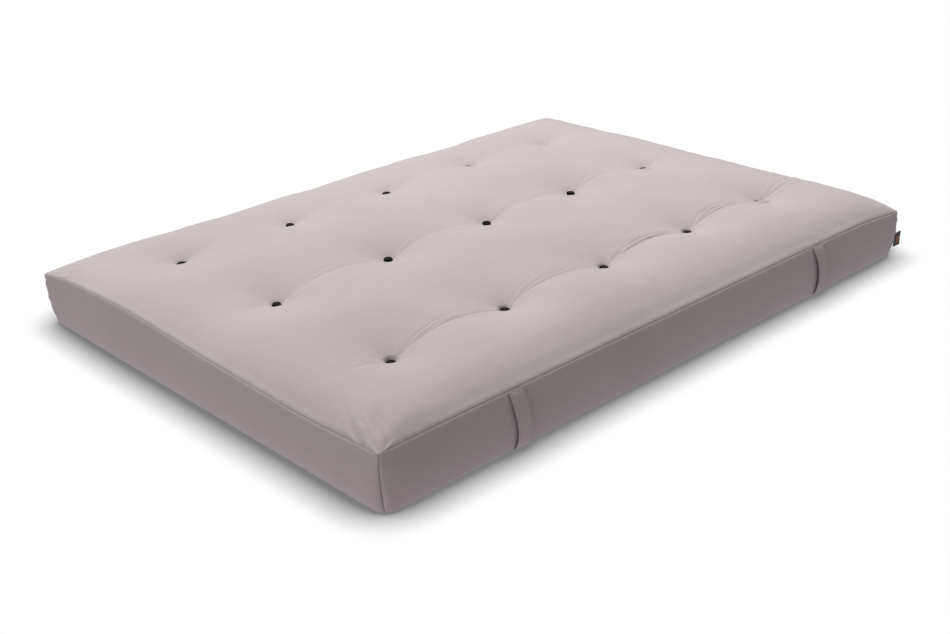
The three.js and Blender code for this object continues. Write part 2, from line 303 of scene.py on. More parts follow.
COVER_DYE, COVER_FADED = (0.375, 0.323, 0.319), (0.425, 0.370, 0.365)
cover_cloth = woven_material("cover_cloth", COVER_DYE, COVER_FADED, 0.9 * MM, 0.35)
strap_cloth = woven_material(
    "strap_cloth", (0.375, 0.322, 0.318), (0.415, 0.360, 0.354), 0.9 * MM, 0.45, patches=14.0
)
thread_cloth = woven_material("sewing_thread", (0.46, 0.40, 0.395), (0.52, 0.46, 0.45), 0.4 * MM, 0.4)
label_charcoal = woven_material("label_charcoal", (0.020, 0.019, 0.021), (0.035, 0.033, 0.036), 0.5 * MM, 0.6)
label_inside = woven_material("label_inside", (0.10, 0.095, 0.098), (0.15, 0.145, 0.148), 0.5 * MM, 0.6)
label_rust = woven_material("label_rust", (0.30, 0.075, 0.022), (0.38, 0.11, 0.035), 0.5 * MM, 0.6)
twine_cord = woven_material(
    "twine_cord", (0.010, 0.009, 0.009), (0.022, 0.020, 0.020), 0.5 * MM, 0.8, sheen=0.1
)


# %% [markdown]
# The tufts are pressed felt, and the filling is cotton felt round a block of foam. Felt has no
# direction: it is a mat of fibres, so its relief is a fine noise drawn out and folded on itself.
# Foam is a mass of small open cells, for which a Voronoi pattern is the natural choice.

# %% Felt and foam finishes
def build_fibres():
    """A mat of fibres: a noise that is drawn out and folded on itself, as a height."""
    group, start, end = new_group(
        "felt_fibres", [("Scale", "NodeSocketFloat", 400.0)], [("Height", "NodeSocketFloat")]
    )
    place = add(group, "TexCoord").outputs["Object"]
    scale = start.outputs["Scale"]
    mat = add(group, "TexNoise", in_Vector=place, in_Scale=scale, in_Detail=6.0, in_Distortion=2.5)
    group.links.new(mat.outputs["Fac"], end.inputs["Height"])
    return group


FIBRES = build_fibres()


def fibre_material(name, dark, pale, scale, relief, roughness=0.95, sheen=0.3):
    material = bpy.data.materials.new(name)
    tree = fresh_tree(material)
    fibres = add(tree, "Group", node_tree=FIBRES, in_Scale=scale).outputs["Height"]
    mix = add(tree, "Mix", data_type="RGBA", in_0=fibres, in_6=(*dark, 1), in_7=(*pale, 1))
    bump = add(tree, "Bump", in_Height=fibres, in_Strength=relief, in_Distance=0.5 * MM)
    felt = add(tree, "BsdfPrincipled", in_Base_Color=mix.outputs[2], in_Normal=bump.outputs["Normal"])
    felt.inputs["Roughness"].default_value = roughness
    felt.inputs["Sheen Weight"].default_value = sheen
    felt.inputs["Specular IOR Level"].default_value = 0.12
    tree.links.new(felt.outputs["BSDF"], add(tree, "OutputMaterial").inputs["Surface"])
    return material


def foam_material(name, dark, pale, cell):
    material = bpy.data.materials.new(name)
    tree = fresh_tree(material)
    place = add(tree, "TexCoord").outputs["Object"]
    cells = add(tree, "TexVoronoi", in_Vector=place, in_Scale=1 / cell)
    mix = add(tree, "Mix", data_type="RGBA", in_0=cells.outputs["Distance"], in_6=(*dark, 1), in_7=(*pale, 1))
    bump = add(tree, "Bump", in_Height=cells.outputs["Distance"], in_Strength=0.6, in_Distance=0.4 * MM)
    foam = add(tree, "BsdfPrincipled", in_Base_Color=mix.outputs[2], in_Normal=bump.outputs["Normal"])
    foam.inputs["Roughness"].default_value = 0.85
    tree.links.new(foam.outputs["BSDF"], add(tree, "OutputMaterial").inputs["Surface"])
    return material


tuft_felt = fibre_material("tuft_felt", (0.002, 0.002, 0.002), (0.008, 0.007, 0.007), 900.0, 0.8, sheen=0.0)
cotton_felt = fibre_material("cotton_felt", (0.55, 0.52, 0.45), (0.78, 0.75, 0.68), 160.0, 1.0)
foam_block = foam_material("foam_block", (0.62, 0.55, 0.36), (0.80, 0.74, 0.55), 1.6 * MM)


# %% [markdown]
# ## The lattice that every panel is made on
#
# Each cover panel is a lattice of points: a list of stations along the length, another along the
# width, and a height or a bulge worked out at every crossing. The stations crowd together where
# the cloth has fine folds, which is by the seams and round the tufts, and spread out where it is
# smooth. That gives crisp folds without wasting faces on the plain parts.

# %% Lattice helpers
def stations(low, high, centres, reach, fine, coarse, edge_steps):
    """Places from low to high: edge_steps in from both ends, fine near the centres, else coarse."""
    edge = np.cumsum([0.0, *edge_steps])
    places, at, stop = [], low + edge[-1], high - edge[-1]
    while at < stop - fine:
        places.append(at)
        near = min((abs(at - c) for c in centres), default=1e9)
        share = min(max((near - reach) / reach, 0), 1)
        at += fine + (coarse - fine) * share
    places = np.array(places)
    places = low + edge[-1] + (places - places[0]) * (stop - low - edge[-1]) / (places[-1] - places[0])
    return np.concatenate([low + edge[:-1], places, high - edge[:-1][::-1]])


def lattice_faces(columns, rows, flip=False, closed=False):
    """Quads of a lattice whose points are numbered column by column."""
    index = np.arange(columns * rows).reshape(columns, rows)
    if closed:
        index = np.concatenate([index, index[:, :1]], axis=1)
    quads = np.stack([index[:-1, :-1], index[1:, :-1], index[1:, 1:], index[:-1, 1:]], axis=-1).reshape(-1, 4)
    return quads[:, ::-1] if flip else quads


def add_mesh(name, points, faces, *materials):
    """A smooth mesh object in the row frame."""
    mesh = bpy.data.meshes.new(name)
    corners = np.asarray(points, float).reshape(-1, 3).tolist()
    mesh.from_pydata(corners, [], [tuple(map(int, face)) for face in faces])
    mesh.polygons.foreach_set("use_smooth", [True] * len(mesh.polygons))
    for material in materials:
        mesh.materials.append(material)
    piece = bpy.data.objects.new(name, mesh)
    bpy.context.scene.collection.objects.link(piece)
    return piece


def drift(at, seed, longest=0.5, octaves=4):
    """A smooth, repeatable wander between about -1 and 1 along a line."""
    rng = np.random.default_rng(seed)
    total = np.zeros_like(np.asarray(at, float))
    for k in range(octaves):
        wave = np.sin(2 * np.pi * at * (1.7**k) / longest + rng.uniform(0, 6.28))
        total += wave * rng.uniform(0.6, 1) / 1.3**k
    return total / 2.2


def soft_noise(x, y, size, seed):
    """Perlin noise over the panel, with lumps of about the given size."""
    flat = [noise.noise(Vector((a / size, b / size, seed * 7.3))) for a, b in zip(x.ravel(), y.ravel())]
    return np.array(flat).reshape(x.shape)


def bell(distance, width):
    return np.exp(-((distance / width) ** 2))


def smooth_step(value):
    value = np.clip(value, 0, 1)
    return value * value * (3 - 2 * value)


# %% [markdown]
# ## The plan and the seams
#
# Seen from above, the cover is a rectangle with small round corners. Its seams are turned: the
# allowance is inside, so all that shows is a groove where two panels dive towards each other,
# with a soft roll of cloth at either side. Top and borders share one description of the seam,
# which is why they meet without a gap.

# %% Seam and corner helpers
TOP_CORNER, BASE_CORNER = 8 * MM, 30 * MM
GROOVE_DEPTH = 1.6 * MM
GROOVE_WIDTH = 0.9 * MM
ROLL_HEIGHT = 0.35 * MM
ROLL_PLACE = 6 * MM
ROLL_WIDTH = 4 * MM


def round_corners(x, y, half_x=HALF_LENGTH, half_y=HALF_WIDTH, radius=TOP_CORNER):
    """Bends the square corners of the plan onto arcs. x is measured from the panel's centre."""
    over_x = np.abs(x) - (half_x - radius)
    over_y = np.abs(y) - (half_y - radius)
    inside = (over_x > 0) & (over_y > 0)
    longest = np.maximum(over_x, over_y)
    reach = np.maximum(np.hypot(over_x, over_y), 1e-9)
    share = np.where(inside, longest / reach, 1.0)
    new_x = np.sign(x) * np.where(inside, half_x - radius + over_x * share, np.abs(x))
    new_y = np.sign(y) * np.where(inside, half_y - radius + over_y * share, np.abs(y))
    return new_x, new_y


def seam_heights(x, y):
    """Heights of the top seam on the front, back, left and right sides. The filling holds it up
    unevenly: it sags at the front right corner and is pushed up behind the left side's middle."""
    front = 0.1525 - 0.004 * x - 0.017 * bell(HALF_LENGTH - x, 0.11)
    rear = 0.151 + 0.006 * drift(x, 3, 0.8) - 0.006 * bell(HALF_LENGTH + x, 0.06)
    left = 0.150 + 0.022 * bell(y - 0.36, 0.40) - 0.006 * bell(y + 0.46, 0.16)
    left = left - 0.014 * bell(HALF_WIDTH - y, 0.06)
    right_side = 0.150 + 0.003 * drift(y, 4, 0.9) - 0.016 * bell(HALF_WIDTH + y, 0.10)
    return front, rear, left, right_side


def seam_lift(x, y):
    """How far the top's rim stands above its CAD height, fading towards the middle."""
    distances = [HALF_WIDTH + y, HALF_WIDTH - y, HALF_LENGTH + x, HALF_LENGTH - x]
    weights = [np.exp(-np.maximum(d, 0) / 0.10) for d in distances]
    lifts = [h - TOP_SEAM for h in seam_heights(x, y)]
    mean = sum(w * l for w, l in zip(weights, lifts)) / (sum(weights) + 1e-9)
    return mean * np.maximum.reduce(weights)


def groove(distance, along, seed):
    """How far cloth at a distance from its seam is drawn in. It is uneven, as any sewn seam is."""
    tight = 1 + 0.35 * drift(along, seed, 0.12, 5)
    return GROOVE_DEPTH * tight * np.exp(-distance / GROOVE_WIDTH)


def roll(distance, along, seed):
    full = 1 + 0.45 * drift(along, seed + 50, 0.16, 5)
    return ROLL_HEIGHT * full * bell(distance - ROLL_PLACE, ROLL_WIDTH)


print("seam height by the front corner:", round(float(TOP_SEAM + seam_lift(-HALF_LENGTH, -HALF_WIDTH)), 4))

# %% [markdown]
# ## The top panel
#
# Filling pushes the top up into a crown that rises quickly from the seams. Each tuft pulls it down
# again, and between the tufts of one row the cloth hangs like a rope between posts, so the top
# reads as long soft rolls with a valley at each row. The broad form is a formula. The wrinkles
# come from a cloth simulation on a coarser lattice, and the sharp creases, which are too fine for
# it, are pressed in afterwards.

# %% The broad crown
CROWN_RISE, CROWN_REACH = 85 * MM, 160 * MM
TUFT_PULL, TUFT_REACH = 50 * MM, 88 * MM
RIM_ROUNDING = {"front": 31 * MM, "back": 7 * MM, "left": 15 * MM, "right": 8 * MM}
RIM_REACH = {"front": 38 * MM, "back": 26 * MM, "left": 30 * MM, "right": 26 * MM}
RIM_CORNER, RIM_FADE = 26 * MM, 190 * MM
RIM_LIP, RIM_LIP_REACH = 1.5 * MM, 8 * MM
SEAT_RADIUS = 14 * MM
COLLAR_HEIGHT, COLLAR_SIDE = 2.4 * MM, math.radians(-118)
COLLAR_RADIUS, COLLAR_WIDTH = 20 * MM, 9 * MM
DEEPER_TUFTS = {
    "tuft_a2": 1.7, "tuft_a3": 1.9, "tuft_a4": 4.2, "tuft_a5": 4.6, "tuft_b5": 4.0, "tuft_c5": 5.0,
}

tuft_places = {}
for name in TUFT_NAMES:
    low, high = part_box(name + "_top_pad")
    tuft_places[name] = ((low.x + high.x) / 2 - CENTRE_X, (low.y + high.y) / 2, low.z, high.z)
row_places = {row: tuft_places[f"tuft_{row}1"][1] for row in "abc"}
column_places = [tuft_places[f"tuft_a{k}"][0] for k in range(1, 6)]
print("rows at", {r: round(y, 3) for r, y in row_places.items()})


def crown(x, y):
    """Height of the top panel before its wrinkles, x measured from the panel's centre."""
    from_x = np.maximum(HALF_LENGTH - np.abs(x), 0)
    from_y = np.maximum(HALF_WIDTH - np.abs(y), 0)
    z = TOP_SEAM + CROWN_RISE * (1 - np.exp(-from_x / CROWN_REACH)) * (1 - np.exp(-from_y / CROWN_REACH))
    for tuft_x, tuft_y, _, _ in tuft_places.values():
        away = np.maximum(np.hypot(x - tuft_x, y - tuft_y), SEAT_RADIUS)
        held = np.minimum(np.minimum(from_x, from_y) / SEAT_RADIUS, 1)
        z = z - TUFT_PULL * np.exp(-away / TUFT_REACH) * held
    return z + seam_lift(x, y)


def rim_rounding(x, y):
    """The cloth turns down steeply at the seam, because filling is packed tight behind it."""
    from_front, from_back = np.maximum(HALF_WIDTH + y, 0), np.maximum(HALF_WIDTH - y, 0)
    from_left, from_right = np.maximum(HALF_LENGTH + x, 0), np.maximum(HALF_LENGTH - x, 0)
    change = np.zeros_like(x)
    for side, away, others in (
        ("front", from_front, (from_left, from_right)),
        ("back", from_back, (from_left, from_right)),
        ("left", from_left, (from_front, from_back)),
        ("right", from_right, (from_front, from_back)),
    ):
        corners = (1 - np.exp(-others[0] / RIM_CORNER)) * (1 - np.exp(-others[1] / RIM_CORNER))
        rise = 1 - np.exp(-away / RIM_REACH[side])
        change += RIM_ROUNDING[side] * rise * np.exp(-away / RIM_FADE) * corners
    nearest = np.minimum(np.minimum(from_front, from_back), np.minimum(from_left, from_right))
    return change + RIM_LIP * (1 - np.exp(-nearest / RIM_LIP_REACH)) * np.exp(-nearest / RIM_FADE)


# %% Valleys and creases between the tufts
FOLD_SLANT = math.radians(60)
CORNER_FOLDING = [5.0 * MM, 1.4 * MM, 1.8 * MM, 1.8 * MM]
END_PLEATING = {"a": 0.5 * MM, "b": 0.9 * MM, "c": 3.0 * MM}
ROW_VALLEY = {"a": 3.0 * MM, "b": 5.0 * MM, "c": 6.5 * MM}
ROW_CREASING = {"a": 0.3, "b": 0.75, "c": 1.7}
ROW_SOFTNESS = {"a": 2.6, "b": 1.8, "c": 1.0}
END_CREASE = 120 * MM
# The creases of each span between two tufts: where each starts and stops as shares of the span,
# how far it bows out from the row, how deep it is and how wide.
SPAN_CREASES = [
    [(0.05, 1.0, 4 * MM, 1.8 * MM, 3.6 * MM)],
    [
        (0.0, 1.0, 5 * MM, 2.4 * MM, 3.0 * MM),
        (0.1, 0.62, 27 * MM, 2.0 * MM, 2.3 * MM),
        (0.08, 0.5, 15 * MM, 1.0 * MM, 3 * MM),
    ],
    [
        (0.0, 1.0, 6 * MM, 2.2 * MM, 3.0 * MM),
        (-0.03, 0.56, 43 * MM, 1.7 * MM, 2.3 * MM),
        (0.1, 0.9, 19 * MM, 1.1 * MM, 3 * MM),
    ],
    [(0.0, 1.0, 3 * MM, 3.2 * MM, 2.4 * MM), (0.02, 1.0, 18 * MM, 2.8 * MM, 2.2 * MM)],
    [
        (0.0, 1.0, 8 * MM, 2.6 * MM, 2.6 * MM),
        (0.0, 0.65, 34 * MM, 2.4 * MM, 2.2 * MM),
        (0.2, 0.9, 20 * MM, 1.2 * MM, 2.4 * MM),
    ],
    [(0.0, 1.0, 6 * MM, 2.2 * MM, 2.8 * MM), (0.0, 0.8, 24 * MM, 1.6 * MM, 2.4 * MM)],
]


def crease(x, y, span, line, depth, width, seed):
    """A pressed line that fades at both ends of its span of x, with a small lip beyond it."""
    share = np.clip((x - span[0]) / (span[1] - span[0]), 0, 1)
    faded = np.sin(np.pi * share) ** 0.6
    uneven = 0.8 + 0.35 * drift(x, seed + 1, 0.11, 3)
    away = y - line - 1.5 * MM * drift(x, seed, 0.2, 3)
    lip = 0.45 * bell(away + 2.6 * width, 1.8 * width)
    return depth * faded * uneven * (lip - np.exp(-np.abs(away) / width))


def row_creases(x, y, row):
    """The valley of one row of tufts and its creases, as a change of height."""
    middle = row_places[row]
    rng = np.random.default_rng(ord(row))
    change = np.zeros_like(x)
    xs = column_places
    spans = [(xs[0] - END_CREASE, xs[0], 0.55), *[(xs[k], xs[k + 1], 1.0) for k in range(4)]]
    spans.append((xs[4], xs[4] + END_CREASE, 0.55))
    for number, (start, end, strength) in enumerate(spans):
        share = np.clip((x - start) / (end - start), 0, 1)
        ends = np.where((x > start) & (x < end), np.sin(np.pi * share) ** 0.45, 0)
        depth = ROW_VALLEY[row] * strength * rng.uniform(0.8, 1.15)
        change -= depth * ends * np.exp(-np.abs(y - middle) / (34 * MM))
        for order, (first, last, bow, cut, width) in enumerate(SPAN_CREASES[number]):
            part = start + (end - start) * first, start + (end - start) * last
            line = middle + bow * strength * np.sin(np.pi * share)
            cut = cut * strength * ROW_CREASING[row]
            seed = 1000 + 100 * ord(row) + 10 * number + order
            change += crease(x, y, part, line, cut, width * ROW_SOFTNESS[row], seed)
    return change


def tuft_folds(x, y):
    """Small radial folds where the cloth is gathered into each tuft."""
    change = np.zeros_like(x)
    for number, (tuft_x, tuft_y, _, _) in enumerate(tuft_places.values()):
        rng = np.random.default_rng(100 + number)
        away = np.hypot(x - tuft_x, y - tuft_y)
        angle = np.arctan2(y - tuft_y, x - tuft_x)
        folds = np.sin(7 * angle + rng.uniform(0, 6)) + 0.7 * np.sin(11 * angle + rng.uniform(0, 6))
        reach = np.exp(-np.maximum(away - SEAT_RADIUS, 0) / (26 * MM))
        reach = reach * np.clip(away / SEAT_RADIUS - 0.9, 0, 1)
        change += 0.7 * MM * folds * reach * rng.uniform(0.6, 1.2)
    return change


def corner_folds(x, y):
    """Slanting folds just inside the four corners, where the cloth is eased round them."""
    change = np.zeros_like(x)
    for number, (sign_x, sign_y) in enumerate([(-1, -1), (1, -1), (1, 1), (-1, 1)]):
        in_x, in_y = HALF_LENGTH - sign_x * x, HALF_WIDTH - sign_y * y
        along = in_x * math.cos(FOLD_SLANT) + in_y * math.sin(FOLD_SLANT)
        across = in_y * math.cos(FOLD_SLANT) - in_x * math.sin(FOLD_SLANT)
        uneven = 6 * MM * drift(along, 210 + number, 0.13, 2)
        folds = drift(across + uneven, 200 + number, 0.034, 3)
        folds = folds + 0.5 * drift(across + uneven, 220 + number, 0.02, 2)
        place = bell(along - 85 * MM, 62 * MM) * bell(across - 15 * MM, 50 * MM)
        change += CORNER_FOLDING[number] * folds * place
        away, angle = np.hypot(in_x, in_y), np.arctan2(in_y, in_x)
        change += 0.5 * CORNER_FOLDING[number] * np.sin(15 * angle + number) * bell(away - 22 * MM, 22 * MM)
    return change


def end_pleats(x, y):
    """A fan of fine pleats from the last tuft of each row to the short seam beyond it."""
    change = np.zeros_like(x)
    for row, strength in END_PLEATING.items():
        tuft_x, tuft_y = column_places[-1], row_places[row]
        away, angle = np.hypot(x - tuft_x, y - tuft_y), np.arctan2(y - tuft_y, x - tuft_x)
        room = HALF_LENGTH - tuft_x
        fade = smooth_step((away - 35 * MM) / (60 * MM)) * smooth_step((room - (x - tuft_x)) / (25 * MM))
        for number in range(7):
            middle = math.radians(-4 + 7.5 * number) + 0.05 * drift(away, 600 + number + ord(row), 0.3, 3)
            width = 3.0 * MM * (0.8 + 0.4 * (number % 3) / 2)
            off = (angle - middle) * np.maximum(away, 20 * MM)
            shape = 0.5 * bell(off + 2.4 * width, 1.8 * width) - np.exp(-np.abs(off) / width)
            depth = strength * (1.0, 0.6, 0.9, 0.5, 1.0, 0.7, 0.45)[number]
            stop = smooth_step((room * (1.15 - 0.07 * (number % 4)) - away) / (60 * MM))
            change += depth * shape * fade * stop * (np.abs(angle - middle) < 0.6)
    return change


def tuft_collars(x, y):
    """The fuller roll of filling on the front side of each tuft laps up over the edge of its pad."""
    change = np.zeros_like(x)
    for name, (tuft_x, tuft_y, _, _) in tuft_places.items():
        away = np.hypot(x - tuft_x, y - tuft_y)
        angle = np.arctan2(y - tuft_y, x - tuft_x) - COLLAR_SIDE
        facing = np.clip(0.35 + 0.65 * np.cos(angle), 0, 1)
        height = COLLAR_HEIGHT * DEEPER_TUFTS.get(name, 1)
        change += height * facing * bell(away - COLLAR_RADIUS, COLLAR_WIDTH)
    return change


def edge_puckers(x, y):
    """Little pleats square to the seam, a couple of centimetres long."""
    change = np.zeros_like(x)
    sides = [(HALF_WIDTH + y, x), (HALF_WIDTH - y, x), (HALF_LENGTH + x, y), (HALF_LENGTH - x, y)]
    for number, (distance, along) in enumerate(sides):
        pleats = drift(along, 300 + number, 0.09, 4) * (0.6 + 0.6 * drift(along, 310 + number, 0.7, 3))
        change += 0.9 * MM * pleats * bell(distance - 14 * MM, 18 * MM)
    return change


def slack_waves(x, y):
    """Shallow, wandering slackness of cloth that isn't held by anything nearby."""
    broad = soft_noise(x, y * 1.5, 0.22, 1) * 2.2 * MM
    small = soft_noise(x * 0.7, y * 1.8, 0.06, 2) * 0.5 * MM
    return broad + small


# %% Let a coarse copy of the cloth settle
COARSE_COLUMNS, COARSE_ROWS = 161, 113
ROW_SLACK = {"a": 3.0 * MM, "b": 5.0 * MM, "c": 7.0 * MM}
SLACK_REACH = 30 * MM
SETTLE_FRAMES = 18
SETTLE_LIMIT = 6 * MM


def coarse_cloth():
    """A trial sheet in the crown's shape, with spare cloth across each row of tufts."""
    x, y = np.meshgrid(
        np.linspace(-HALF_LENGTH, HALF_LENGTH, COARSE_COLUMNS),
        np.linspace(-HALF_WIDTH, HALF_WIDTH, COARSE_ROWS),
        indexing="ij",
    )
    start = np.stack([x, y, crown(x, y) + rim_rounding(x, y)], -1).reshape(-1, 3)
    trial = add_mesh("trial_sheet", start, lattice_faces(*x.shape))
    spare = sum(
        slack * smooth_step((y - row_places[row]) / (2 * SLACK_REACH) + 0.5)
        for row, slack in ROW_SLACK.items()
    )
    spare = spare + 0.002 * drift(x + 0.4 * y, 71, 0.35, 3)
    trial.shape_key_add(name="Basis")
    rest = trial.shape_key_add(name="rest")
    cut = start + np.stack([0.004 * x, spare, 0 * x], -1).reshape(-1, 3)
    rest.data.foreach_set("co", cut.ravel())
    rest.value = 0
    edge = (np.abs(np.abs(x) - HALF_LENGTH) < 1e-6) | (np.abs(np.abs(y) - HALF_WIDTH) < 1e-6)
    for tuft_x, tuft_y, _, _ in tuft_places.values():
        edge |= np.hypot(x - tuft_x, y - tuft_y) < 17 * MM
    pins = trial.vertex_groups.new(name="pins")
    pins.add(np.where(edge.ravel())[0].tolist(), 1.0, "REPLACE")
    return trial, start, rest


def settle():
    """Runs the cloth under a light pressure from the filling and returns how far each point moved."""
    trial, start, rest = coarse_cloth()
    cloth = trial.modifiers.new("cloth", "CLOTH")
    cloth.settings.vertex_group_mass = "pins"
    cloth.settings.rest_shape_key = rest
    cloth.settings.quality = 5
    cloth.settings.mass = 0.3
    cloth.settings.tension_stiffness = 30
    cloth.settings.compression_stiffness = 30
    cloth.settings.shear_stiffness = 12
    cloth.settings.bending_stiffness = 0.3
    cloth.settings.use_pressure = True
    cloth.settings.uniform_pressure_force = 3
    cloth.settings.effector_weights.gravity = 0
    cloth.collision_settings.use_collision = False
    cloth.point_cache.frame_end = SETTLE_FRAMES + 2
    for number in range(1, SETTLE_FRAMES + 1):
        bpy.context.scene.frame_set(number)
    settled = np.empty(start.size)
    shaped = trial.evaluated_get(bpy.context.evaluated_depsgraph_get())
    shaped.data.vertices.foreach_get("co", settled)
    moved = (settled.reshape(-1, 3) - start).reshape(COARSE_COLUMNS, COARSE_ROWS, 3)
    print("cloth moved up by", moved[..., 2].max().round(4), "and down by", moved[..., 2].min().round(4), "m")
    bpy.data.objects.remove(trial)
    bpy.context.scene.frame_set(1)
    return np.tanh(moved / SETTLE_LIMIT) * SETTLE_LIMIT


settled_moves = settle()


def cubic_weights(at, low, high, count):
    """Rows of smooth interpolation weights that read a line of count even samples at any places."""
    position = np.clip((at - low) / (high - low) * (count - 1), 0, count - 1 - 1e-6)
    first = position.astype(int)
    t = position - first
    weights = np.zeros((len(at), count))
    spline = [
        (1 - t) ** 3 / 6,
        (3 * t**3 - 6 * t**2 + 4) / 6,
        (-3 * t**3 + 3 * t**2 + 3 * t + 1) / 6,
        t**3 / 6,
    ]
    for offset, share in zip((-1, 0, 1, 2), spline):
        np.add.at(weights, (np.arange(len(at)), np.clip(first + offset, 0, count - 1)), share)
    return weights


def settled_at(xs, ys):
    """The settled movement at every crossing of a finer lattice."""
    if settled_moves is None:
        return np.zeros((len(xs), len(ys), 3))
    along = cubic_weights(xs, -HALF_LENGTH, HALF_LENGTH, COARSE_COLUMNS)
    across = cubic_weights(ys, -HALF_WIDTH, HALF_WIDTH, COARSE_ROWS)
    return np.einsum("ai,ijk,bj->abk", along, settled_moves, across)


# %% Assemble the top panel
EDGE_STEPS = [0.8 * MM, 1.2 * MM, 1.8 * MM, 2.6 * MM, 3.6 * MM, 5 * MM, 6 * MM]


def top_lattice():
    folded_x = [side * (HALF_LENGTH - inset) for side in (-1, 1) for inset in (60 * MM, 115 * MM)]
    folded_y = [side * (HALF_WIDTH - 80 * MM) for side in (-1, 1)]
    creased_y = [v + 14 * MM for v in row_places.values()]
    fine_x, fine_y = [*column_places, *folded_x], [*creased_y, *folded_y]
    xs = stations(-HALF_LENGTH, HALF_LENGTH, fine_x, 30 * MM, 4.4 * MM, 12 * MM, EDGE_STEPS)
    ys = stations(-HALF_WIDTH, HALF_WIDTH, fine_y, 46 * MM, 2.4 * MM, 9 * MM, EDGE_STEPS)
    return np.meshgrid(xs, ys, indexing="ij")


def draw_in(x, y):
    """Moves lattice points by the seams towards the middle, into the groove."""
    distance_x, distance_y = HALF_LENGTH - np.abs(x), HALF_WIDTH - np.abs(y)
    new_x = x - np.sign(x) * groove(distance_x, y, 21)
    new_y = y - np.sign(y) * groove(distance_y, x, 22)
    return new_x, new_y


def seat_tufts(x, y, z):
    """Levels the cloth under each pad, so that the pad lies on it."""
    for tuft_x, tuft_y, pad_low, _ in tuft_places.values():
        away = np.hypot(x - tuft_x, y - tuft_y)
        held = 1 - smooth_step((away - 12 * MM) / (7 * MM))
        z = z * (1 - held) + (pad_low - 0.4 * MM) * held
    return z


x, y = top_lattice()
z = crown(x, y) + rim_rounding(x, y) + tuft_collars(x, y)
for row in "abc":
    z += row_creases(x, y, row)
nearest_side = np.minimum(HALF_LENGTH - np.abs(x), HALF_WIDTH - np.abs(y))
inward = np.clip(nearest_side / (40 * MM), 0, 1)
z += slack_waves(x, y) * inward
z += tuft_folds(x, y) + corner_folds(x, y) * np.clip(nearest_side / (6 * MM), 0, 1)
z += edge_puckers(x, y) * np.clip(nearest_side / (6 * MM), 0, 1) + end_pleats(x, y)
z += roll(nearest_side, x + y, 23) * np.clip(nearest_side / (3 * MM), 0, 1)
moved = settled_at(x[:, 0], y[0]) * np.clip(nearest_side / (12 * MM), 0, 1)[..., None]
z = seat_tufts(x, y, z + moved[..., 2])
drawn_x, drawn_y = draw_in(x, y)
plan_x, plan_y = round_corners(drawn_x + moved[..., 0], drawn_y + moved[..., 1])
top_panel = add_mesh(
    "cover_top_cloth", np.stack([plan_x + CENTRE_X, plan_y, z], -1), lattice_faces(*x.shape), cover_cloth
)
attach(top_panel, "mattress")
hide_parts("cover_top")
print("top panel:", x.shape, "lattice points, highest", round(float(z.max()), 4), "m")

# %% [markdown]
# ## The borders
#
# A border is a band of cloth between the top seam and the base seam. The filling bulges it most
# below the middle, the corner seams hold it flat, and at the floor it tucks under. All four are
# made by one function that works in a side's own terms: a distance along it, a share of its
# height, and a bulge outwards.

# %% Border panels
BORDER_BULGE = 15 * MM
BULGE_LOW, BULGE_FULLNESS = 0.85, 0.75
CORNER_HOLD = 24 * MM
LABEL_CORNER_HOLD = 110 * MM
CORNER_GROOVE = 1.7 * MM
BASE_TUCK_X, BASE_TUCK_Y = 11 * MM, 4 * MM
BORDER_STEPS = [0.8 * MM, 1.2 * MM, 2 * MM, 3 * MM, 4 * MM]
FLOOR_SEAM = 2.5 * MM
SIDES = {
    "front": dict(seed=31, half=HALF_LENGTH, along=(1, 0), out=(0, -1)),
    "right": dict(seed=32, half=HALF_WIDTH, along=(0, 1), out=(1, 0)),
    "back": dict(seed=33, half=HALF_LENGTH, along=(-1, 0), out=(0, 1)),
    "left": dict(seed=34, half=HALF_WIDTH, along=(0, -1), out=(-1, 0)),
}


def border_swell(along, share, half):
    """Bulge of a border at a distance along it and a share of its height above the base seam."""
    corner = np.maximum(half - np.abs(along), 0)
    round_over = np.abs(np.sin(np.pi * np.clip(share, 0, 1) ** BULGE_LOW)) ** BULGE_FULLNESS
    # the short right border stays flat beside the label, which has to lie against it
    hold = np.where((half == HALF_WIDTH) & (along < 0), LABEL_CORNER_HOLD, CORNER_HOLD)
    return BORDER_BULGE * round_over * (1 - np.exp(-corner / hold))


def border_wrinkles(along, share, half, seed):
    """Low slanting wrinkles, gathers beside the corner seams, and a slow unevenness."""
    slant = along + 0.10 * share
    low = bell(share - 0.30, 0.28)
    amount = 0.5 + 0.5 * drift(along, seed + 5, 0.9, 3)
    change = 0.8 * MM * drift(slant, seed, 0.10, 4) * low * amount
    change += 1.6 * MM * drift(along, seed + 1, 0.8, 4) * np.sin(np.pi * share)
    corner = half - np.abs(along)
    rng = np.random.default_rng(seed)
    gathers = np.sin(26 * share + 60 * corner + rng.uniform(0, 6)) + 0.6 * np.sin(41 * share - 35 * corner)
    change += 1.2 * MM * gathers * np.exp(-corner / (30 * MM)) * np.clip(corner / (5 * MM), 0, 1)
    return change * np.clip(np.minimum(share, 1 - share) / 0.08, 0, 1)


